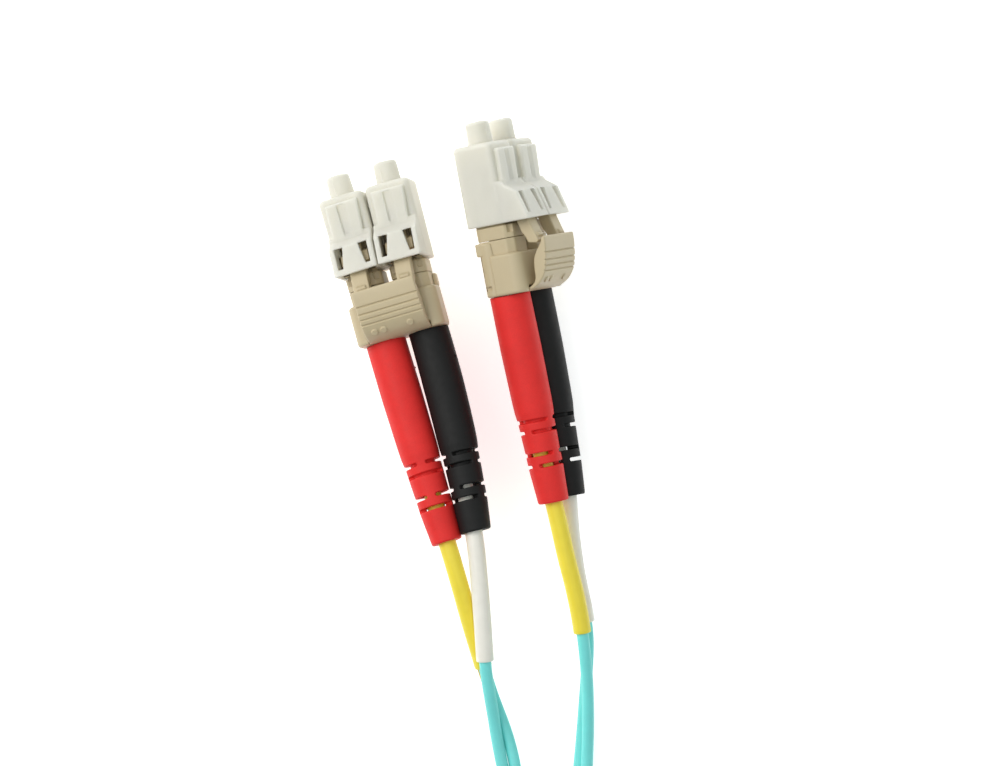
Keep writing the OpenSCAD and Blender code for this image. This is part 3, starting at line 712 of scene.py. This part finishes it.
def vertices_of(node):
    """Vertices of a CAD node, in mm."""
    mesh = frame["nodes"][node].data
    co = np.empty(len(mesh.vertices) * 3)
    mesh.vertices.foreach_get("co", co)
    return co.reshape(-1, 3) / MM


def strands(node):
    """Centre lines of the round strands of a CAD node: each ring of vertices gives one point."""
    mesh = frame["nodes"][node].data
    co = vertices_of(node)
    edges = np.empty(len(mesh.edges) * 2, int)
    mesh.edges.foreach_get("vertices", edges)
    edges = edges.reshape(-1, 2)
    _, first, same = np.unique(np.round(co, 3), axis=0, return_index=True, return_inverse=True)
    same = same.ravel()
    co, edges = co[first], same[edges]
    length = np.linalg.norm(co[edges[:, 0]] - co[edges[:, 1]], axis=1)
    ring = join(len(co), edges[length < RING_LINK])
    count = ring.max() + 1
    centre = np.zeros((count, 3))
    np.add.at(centre, ring, co)
    centre /= np.bincount(ring)[:, None]
    links = {i: set() for i in range(count)}
    for a, b in np.unique(np.sort(ring[edges], axis=1), axis=0):
        if a != b:
            links[int(a)].add(int(b))
            links[int(b)].add(int(a))
    lines, seen = [], set()
    for i in sorted(links):
        if i in seen or len(links[i]) != 1:
            continue
        line = [i]
        seen.add(i)
        while True:
            onward = [j for j in links[line[-1]] if j not in seen]
            if not onward:
                break
            line.append(min(onward, key=lambda j: np.linalg.norm(centre[j] - centre[line[-1]])))
            seen.add(line[-1])
        lines.append(centre[line])
    return lines


def join(count, pairs):
    """Number of the group each item belongs to, when the pairs are joined."""
    group = np.arange(count)
    while True:
        low = group.copy()
        np.minimum.at(low, pairs[:, 0], group[pairs[:, 1]])
        np.minimum.at(low, pairs[:, 1], group[pairs[:, 0]])
        low = low[low]
        if (low == group).all():
            break
        group = low
    return np.unique(group, return_inverse=True)[1].ravel()


# ---------- springs


def springs():
    """Round wire wound from crimp post to flange."""
    for end in ENDS:
        for side in SIDES:
            plug = f"{end}_{side}"
            place = plug_place(plug)
            z, rho = place.along(vertices_of(plug + "_spring"))
            wire = (rho.max() - rho.min()) / 2
            coil = (rho.max() + rho.min()) / 2
            low, high = z.min() + wire, z.max() - wire
            turn = np.linspace(0, SPRING_TURNS, 24 * SPRING_TURNS + 1)[:, None]
            # the first and last turns lie flat
            rise = np.clip((turn - 0.75) / (SPRING_TURNS - 1.5), 0, 1)
            around_axis = np.cos(2 * math.pi * turn) * place.x + np.sin(2 * math.pi * turn) * place.y
            line = place.o + coil * around_axis + (low + (high - low) * rise) * place.z
            at = lengths(line)[::1]
            mesh = sweep(plug + "_spring_wire", line, at, circle(12, wire), top=place.z)
            mesh.materials.append(MATERIALS["spring_steel"])
            obj = put(mesh.name, mesh, f"{end}_end", plug + "_spring")
            anchor = place.point((0, 0, z.min())) * MM
            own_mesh(obj)


# ---------- materials; lengths in the nodes are in mm


def srgb(*color):
    """Linear colour from 0..255 display values."""
    return [c / 255 / 12.92 if c <= 10 else ((c / 255 + 0.055) / 1.055) ** 2.4 for c in color] + [1]


class Nodes:
    """A material's node tree with short ways to add what the finishes share."""

    def __init__(self, name, color, rough):
        self.mat = bpy.data.materials.new(name)
        self.mat.use_nodes = True
        self.tree = self.mat.node_tree
        self.bsdf = self.tree.nodes["Principled BSDF"]
        self.bsdf.inputs["Base Color"].default_value = color
        self.bsdf.inputs["Roughness"].default_value = rough
        self.color = color
        self.mat.diffuse_color = color
        coord = self.tree.nodes.new("ShaderNodeTexCoord")
        scale = self.tree.nodes.new("ShaderNodeVectorMath")
        scale.operation = "SCALE"
        scale.inputs["Scale"].default_value = 1 / MM
        self.link(coord.outputs["Object"], scale.inputs[0])
        self.mm = scale.outputs[0]
        uv = self.tree.nodes.new("ShaderNodeUVMap")
        uv.uv_map = "along"
        self.uv = uv.outputs[0]

    def link(self, a, b):
        self.tree.links.new(a, b)

    def noise(self, size, detail=2.0, source=None, stretch=(1, 1, 1)):
        """Noise of the given grain size, different on every piece that shares a mesh."""
        mapping = self.tree.nodes.new("ShaderNodeMapping")
        mapping.inputs["Scale"].default_value = [k / size for k in stretch]
        info = self.tree.nodes.new("ShaderNodeObjectInfo")
        node = self.tree.nodes.new("ShaderNodeTexNoise")
        node.noise_dimensions = "4D"
        node.inputs["Scale"].default_value = 1
        node.inputs["Detail"].default_value = detail
        spread = self.math("MULTIPLY", info.outputs["Random"], 37.0)
        self.link(source or self.mm, mapping.inputs[0])
        self.link(mapping.outputs[0], node.inputs["Vector"])
        self.link(spread, node.inputs["W"])
        return node.outputs["Fac"]

    def math(self, operation, a, b=0.0):
        node = self.tree.nodes.new("ShaderNodeMath")
        node.operation = operation
        for value, socket in ((a, node.inputs[0]), (b, node.inputs[1])):
            if isinstance(value, (int, float)):
                socket.default_value = value
            else:
                self.link(value, socket)
        return node.outputs[0]

    def ramp(self, fac, low, high, a, b):
        """Maps fac from low..high to a..b."""
        node = self.tree.nodes.new("ShaderNodeMapRange")
        for name, value in (("From Min", low), ("From Max", high), ("To Min", a), ("To Max", b)):
            node.inputs[name].default_value = value
        self.link(fac, node.inputs["Value"])
        return node.outputs[0]

    def mottle(self, *layers):
        """Lightens and darkens the colour: each layer is (0..1 signal, amount at 0, amount at 1)."""
        total = None
        for fac, low, high in layers:
            gain = self.ramp(fac, 0.3, 0.7, low, high)
            total = gain if total is None else self.math("MULTIPLY", total, gain)
        node = self.tree.nodes.new("ShaderNodeVectorMath")
        node.operation = "SCALE"
        node.inputs[0].default_value = self.color[:3]
        self.link(total, node.inputs["Scale"])
        self.link(node.outputs[0], self.bsdf.inputs["Base Color"])

    def rough(self, fac, a, b):
        self.link(self.ramp(fac, 0.3, 0.7, a, b), self.bsdf.inputs["Roughness"])

    def bump(self, *layers):
        """Relief: each layer is (signal, height in mm)."""
        normal = None
        for fac, height in layers:
            node = self.tree.nodes.new("ShaderNodeBump")
            node.inputs["Distance"].default_value = height * MM
            self.link(fac, node.inputs["Height"])
            if normal is not None:
                self.link(normal, node.inputs["Normal"])
            normal = node.outputs[0]
        self.link(normal, self.bsdf.inputs["Normal"])

    def soft(self, weight, radius):
        """Light that enters the material and leaves it a little further on; radius in mm."""
        self.bsdf.inputs["Subsurface Weight"].default_value = weight
        self.bsdf.inputs["Subsurface Radius"].default_value = (1, 1, 1)
        self.bsdf.inputs["Subsurface Scale"].default_value = radius * MM


def moulded_plastic(name, color, rough, softness, radius):
    """Injection-moulded plastic: fine spark-eroded grain, faint flow marks, gloss that varies with the flow marks.
    """
    m = Nodes(name, color, rough)
    cloud, flow, grain = m.noise(5.0, 2), m.noise(1.4, 3, stretch=(1, 1, 0.25)), m.noise(0.11, 2)
    m.mottle((cloud, 0.975, 1.02), (flow, 0.985, 1.012), (grain, 0.99, 1.01))
    m.rough(flow, rough - 0.06, rough + 0.07)
    m.bump((flow, 0.010), (grain, 0.006))
    m.soft(softness, radius)
    return m.mat


def rubber(name, color, rough):
    """Satin elastomer with fine grain and a trace of handling dust."""
    m = Nodes(name, color, rough)
    cloud, grain, dust = m.noise(4.0, 3), m.noise(0.14, 3), m.noise(0.9, 5)
    m.mottle((cloud, 0.95, 1.05), (grain, 0.96, 1.04), (dust, 0.98, 1.03))
    m.rough(dust, rough - 0.05, rough + 0.08)
    m.bump((cloud, 0.02), (grain, 0.006))
    m.bsdf.inputs["Specular IOR Level"].default_value = 0.25
    return m.mat


def shrunk_sleeve(name, color, rough):
    """Heat-shrunk tube: smooth, faintly streaked lengthwise, with soft lumps where it shrank."""
    m = Nodes(name, color, rough)
    streak = m.noise(0.6, 2, m.uv, stretch=(14, 0.12, 1))
    lump, grain = m.noise(1.6, 1), m.noise(0.2, 2)
    m.mottle((lump, 0.975, 1.02), (streak, 0.98, 1.015))
    m.rough(streak, rough - 0.06, rough + 0.08)
    m.bump((lump, 0.035), (streak, 0.008), (grain, 0.003))
    m.soft(0.25, 0.5)
    return m.mat


def extruded_jacket(name, color, rough):
    """Cord jacket: draw lines along it, slow wander of its surface, satin skin."""
    m = Nodes(name, color, rough)
    lines = m.noise(0.6, 3, m.uv, stretch=(22, 0.03, 1))
    wander, grain = m.noise(2.2, 2), m.noise(0.16, 2)
    m.mottle((wander, 0.97, 1.02), (lines, 0.985, 1.015), (grain, 0.99, 1.01))
    m.rough(lines, rough - 0.07, rough + 0.07)
    m.bump((wander, 0.02), (lines, 0.006), (grain, 0.004))
    m.soft(0.2, 0.4)
    return m.mat


def metal(name, color, rough):
    """Plated or drawn metal with fine tool marks."""
    m = Nodes(name, color, rough)
    mark, cloud = m.noise(0.08, 2), m.noise(1.0, 2)
    m.mottle((cloud, 0.94, 1.04), (mark, 0.95, 1.03))
    m.rough(mark, rough - 0.08, rough + 0.12)
    m.bump((mark, 0.003))
    m.bsdf.inputs["Metallic"].default_value = 1
    return m.mat


def ceramic(name, color):
    """Polished ceramic."""
    m = Nodes(name, color, 0.12)
    cloud, polish = m.noise(0.8, 2), m.noise(0.05, 2)
    m.mottle((cloud, 0.985, 1.01))
    m.rough(polish, 0.08, 0.2)
    m.bump((polish, 0.0008))
    m.soft(0.3, 0.3)
    return m.mat


def yarn(name, color):
    """Layer of fine aramid threads that run along the cord."""
    m = Nodes(name, color, 0.6)
    thread, cloud = m.noise(0.07, 3, stretch=(1, 0.12, 1)), m.noise(0.9, 2)
    m.mottle((thread, 0.7, 1.15), (cloud, 0.92, 1.06))
    m.rough(thread, 0.5, 0.75)
    m.bump((thread, 0.03))
    m.bsdf.inputs["Sheen Weight"].default_value = 0.3
    return m.mat


def buffer_coat(name, color):
    """Smooth coat over the glass fibre."""
    m = Nodes(name, color, 0.3)
    cloud, grain = m.noise(1.2, 2), m.noise(0.1, 2)
    m.mottle((cloud, 0.96, 1.03))
    m.rough(cloud, 0.25, 0.38)
    m.bump((grain, 0.002))
    m.soft(0.3, 0.3)
    return m.mat


# for each material slot: its finish, its colour and what else the finish asks for
FINISHES = {
    "connector_plastic": (moulded_plastic, (203, 187, 153), 0.42, 0.12, 0.5),
    "cap_plastic": (moulded_plastic, (228, 225, 213), 0.5, 0.85, 1.6),
    "black_boot": (rubber, (27, 27, 27), 0.55),
    "red_boot": (rubber, (234, 50, 47), 0.5),
    "white_sleeve": (shrunk_sleeve, (247, 243, 232), 0.42),
    "yellow_sleeve": (shrunk_sleeve, (249, 226, 68), 0.42),
    "aqua_jacket": (extruded_jacket, (126, 231, 228), 0.45),
    "aramid_yarn": (yarn, (233, 205, 110)),
    "fibre_buffer": (buffer_coat, (150, 220, 222)),
    "zirconia": (ceramic, (245, 244, 240)),
    "nickel_metal": (metal, (214, 209, 200), 0.28),
    "spring_steel": (metal, (196, 197, 200), 0.25),
    "crimp_metal": (metal, (214, 213, 210), 0.32),
}
MATERIALS = {slot: finish(slot, srgb(*color), *more) for slot, (finish, color, *more) in FINISHES.items()}


# ---------- assembly


def finish_cad_nodes():
    """Every CAD node gets its slot's material; those that a new piece replaces are hidden later."""
    slots = {s["node"]: s["material_slot"] for s in frame["record"]["subparts"]}
    for node, obj in frame["nodes"].items():
        obj.data.materials.clear()
        obj.data.materials.append(MATERIALS[slots[node]])


def moulded_parts():
    """Caps, housings and latches of the plugs, and the clip and trigger of each end."""
    plastic = "connector_plastic"
    shared = {"dust_cap": (dust_cap_field, "cap_plastic"), "plug_housing": (plug_housing_field, plastic),
              "rear_housing": (rear_housing_field, plastic), "latch": (latch_field, plastic)}
    meshes = {part: moulded(part, field(), slot) for part, (field, slot) in shared.items()}
    clip = moulded("duplex_clip", duplex_clip_field(), plastic)
    trigger = moulded("trigger", trigger_field(), plastic)
    for end in ENDS:
        place = end_place(end)
        put(f"{end}_clip", clip, f"{end}_end", f"{end}_duplex_clip", place)
        put(f"{end}_pull_trigger", trigger, f"{end}_trigger", f"{end}_trigger", place)
        for side in SIDES:
            plug = f"{end}_{side}"
            body = {"dust_cap": f"{plug}_dust_cap", "latch": f"{plug}_latch"}
            for part, mesh in meshes.items():
                put(f"{plug}_{part}_moulded", mesh, body.get(part, f"{end}_end"), f"{plug}_{part}",
                    plug_place(plug))


def leg_lines(end):
    """Routes of the end's two cords by side, from the plug to the split."""
    lines = {}
    for line in strands(f"{end}_leg_fibres"):
        for side in SIDES:
            plug = plug_place(f"{end}_{side}")
            for way in (line, line[::-1]):
                depth, off_axis = plug.along(way[:1])
                if off_axis[0] < 0.3 and depth[0] > 5:
                    lines[side] = swayed(end, side, smooth_line(way))
    return lines


def swayed(end, side, line):
    """The line moved aside as its cord lies, and back in place where it meets the pair."""
    e = end_place(end)
    depth = (e.o - line) @ e.z
    to_go = lengths(line)[-1] - lengths(line)
    hold = np.clip(to_go / 5, 0, 1)
    hold = hold * hold * (3 - 2 * hold)
    return line + (sway_of(f"{end}_{side}")(depth) * hold)[:, None] * level_aside(end)


def sleeves(end, lines):
    """Tube around each single cord, as long as its CAD sleeve and a little more, with rounded lips."""
    outer, inner = SLEEVE_R
    lip = 0.1
    for side, line in lines.items():
        node = f"{end}_{side}_id_sleeve"
        slot = "white_sleeve" if side == "a" else "yellow_sleeve"
        t = lengths(line)
        co = vertices_of(node)
        near = [np.abs(line - c).sum(1).argmin() for c in co[::max(1, len(co) // 400)]]
        start, stop = t[min(near)], t[max(near)] + SLEEVE_MORE[f"{end}_{side}"]
        outside = np.r_[np.arange(start + lip, stop - lip, STEP), stop - lip]
        inside = np.r_[stop, np.arange(stop - 0.3, start + lip, -4 * STEP), start]
        at = np.r_[start, outside, stop - lip / 3, stop, inside]
        radius = np.r_[outer - lip, np.full(len(outside), outer), outer - lip * 0.35, outer - lip,
                       np.full(len(inside), inner)]
        mesh = sweep(node + "_tube", line, at, circle(40, radius), closed=True)
        mesh.materials.append(MATERIALS[slot])
        put(mesh.name, mesh, f"{end}_end", node)


def merged(name, meshes):
    """One mesh from several."""
    bm = bmesh.new()
    for mesh in meshes:
        bm.from_mesh(mesh)
        bpy.data.meshes.remove(mesh)
    out = bpy.data.meshes.new(name)
    bm.to_mesh(out)
    bm.free()
    out.polygons.foreach_set("use_smooth", np.ones(len(out.polygons), bool))
    return out


def leg_skin(line, zip_lines):
    """Single cord from the boot to a little way into the pair, where it thins and hides in the skin."""
    zip_line = min(zip_lines, key=lambda q: np.linalg.norm(q[0] - line[-1]))
    whole = smooth_line(np.concatenate([line[::4], line[-1:], part_of(zip_line, 0.3, 3)]))
    stop = lengths(line)[-1] + 1.6
    at = np.arange(FIBRE_LEAD, stop, STEP)
    hidden_r = CORD_R - 0.05
    radius = LEG_R + (hidden_r - LEG_R) * np.clip((at - stop + 4.0) / 3.0, 0, 1)
    return sweep("leg", whole, at, circle(36, radius))


def cords(legs):
    """Legs of each end, with the zip pair from the left split nearly to the right one on the left cord."""
    one, two = [smooth_line(line) for line in strands("zip_fibres")]
    if np.linalg.norm(one[0] - two[0]) > np.linalg.norm(one[0] - two[-1]):
        two = two[::-1]
    splits = {end: np.array(JOINTS[f"{end}_cord_bend"]["pos_m"]) / MM for end in ENDS}
    if np.linalg.norm(one[0] - splits["left"]) > np.linalg.norm(one[-1] - splits["left"]):
        one, two = one[::-1], two[::-1]
    pitch = np.linalg.norm(one[0] - two[0])
    centre, across, _ = frames(one, lengths(one))
    toward = np.sign((two[0] - one[0]) @ across[0])
    middle = centre + across * toward * pitch / 2
    total = lengths(middle)[-1]
    seam = total - SEAM_BACK
    section = pair_section(CORD_R, pitch, 0.25)
    spans = {"left": np.linspace(0, seam, int(seam / (2 * STEP))), "right": np.linspace(seam, total, 10)}
    zip_lines = {"left": (one, two), "right": (one[::-1], two[::-1])}
    for end in ENDS:
        parts = [sweep("pair", middle, spans[end], section)]
        parts += [leg_skin(line, zip_lines[end]) for line in legs[end].values()]
        mesh = merged(f"{end}_cord", parts)
        mesh.materials.append(MATERIALS["aqua_jacket"])
        obj = linked(f"{end}_cord_jacket", mesh)
        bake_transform(obj)
        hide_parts(f"{end}_leg_jackets")
        if end == "left":
            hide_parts("zip_jacket")


# ---------- stage


FLOOR_HALF = 3.0          # m
FLOOR_DROP = 0.0005       # m
CAMERA_HEIGHT = 809.7     # above the table
CAMERA_ASIDE = (5.33, -9.83)   # from the point midway between the two ends to below the camera
LENS = 200                # long lens, as the photograph's flat perspective asks
LOOK_HEIGHT = 8.0


def floor():
    """Pale paper under the part."""
    h = FLOOR_HALF
    mesh = bpy.data.meshes.new("floor")
    mesh.from_pydata([(-h, -h, 0), (h, -h, 0), (h, h, 0), (-h, h, 0)], [], [(0, 1, 2, 3)])
    obj = linked("floor", mesh)
    obj.location.z = -FLOOR_DROP
    paper = Nodes("floor_paper", srgb(250, 250, 250), 0.9)
    paper.mottle((paper.noise(30, 2), 0.99, 1.0))
    paper.bsdf.inputs["Emission Color"].default_value = (1, 1, 1, 1)
    paper.bsdf.inputs["Emission Strength"].default_value = 0.6
    mesh.materials.append(paper.mat)


def stage():
    """Floor, camera straight above the two ends, and soft studio light."""
    floor()
    middle = sum(end_place(end).o for end in ENDS) / len(ENDS)
    x, y = middle[:2] + CAMERA_ASIDE
    camera = bpy.data.cameras.new("camera")
    camera.lens, camera.sensor_width = LENS, 36
    camera.clip_start, camera.clip_end = 0.05, 10
    shot = linked("camera", camera)
    shot.location = Vector((x, y, CAMERA_HEIGHT)) * MM
    bpy.context.scene.camera = shot
    for name, place, size, power, color in (
            ("key", (-0.5, 0.25, 0.55), 0.6, 3.7, (1, 0.985, 0.96)),
            ("fill", (0.5, 0.0, 0.5), 0.7, 0.5, (0.8, 1.0, 0.98)),
            ("top", (0.0, 0.1, 0.95), 0.9, 2.0, (1, 1, 1))):
        light = bpy.data.lights.new(name, "AREA")
        light.size, light.energy, light.color = size, power, color
        lamp = linked(name, light)
        lamp.location = Vector((x, y, LOOK_HEIGHT)) * MM + Vector(place)
        lamp.rotation_euler = (-Vector(place)).to_track_quat("-Z", "Y").to_euler()
    world = bpy.data.worlds.new("room")
    world.use_nodes = True
    background = world.node_tree.nodes["Background"]
    background.inputs["Color"].default_value = (0.95, 1.0, 1.0, 1)
    background.inputs["Strength"].default_value = 0.3
    bpy.context.scene.world = world
    bpy.context.scene.view_settings.view_transform = "Standard"


finish_cad_nodes()
moulded_parts()
springs()
boots()
leg_routes = {end: leg_lines(end) for end in ENDS}
for end_name, routes in leg_routes.items():
    sleeves(end_name, routes)
cords(leg_routes)
stage()

bpy.context.view_layer.update()
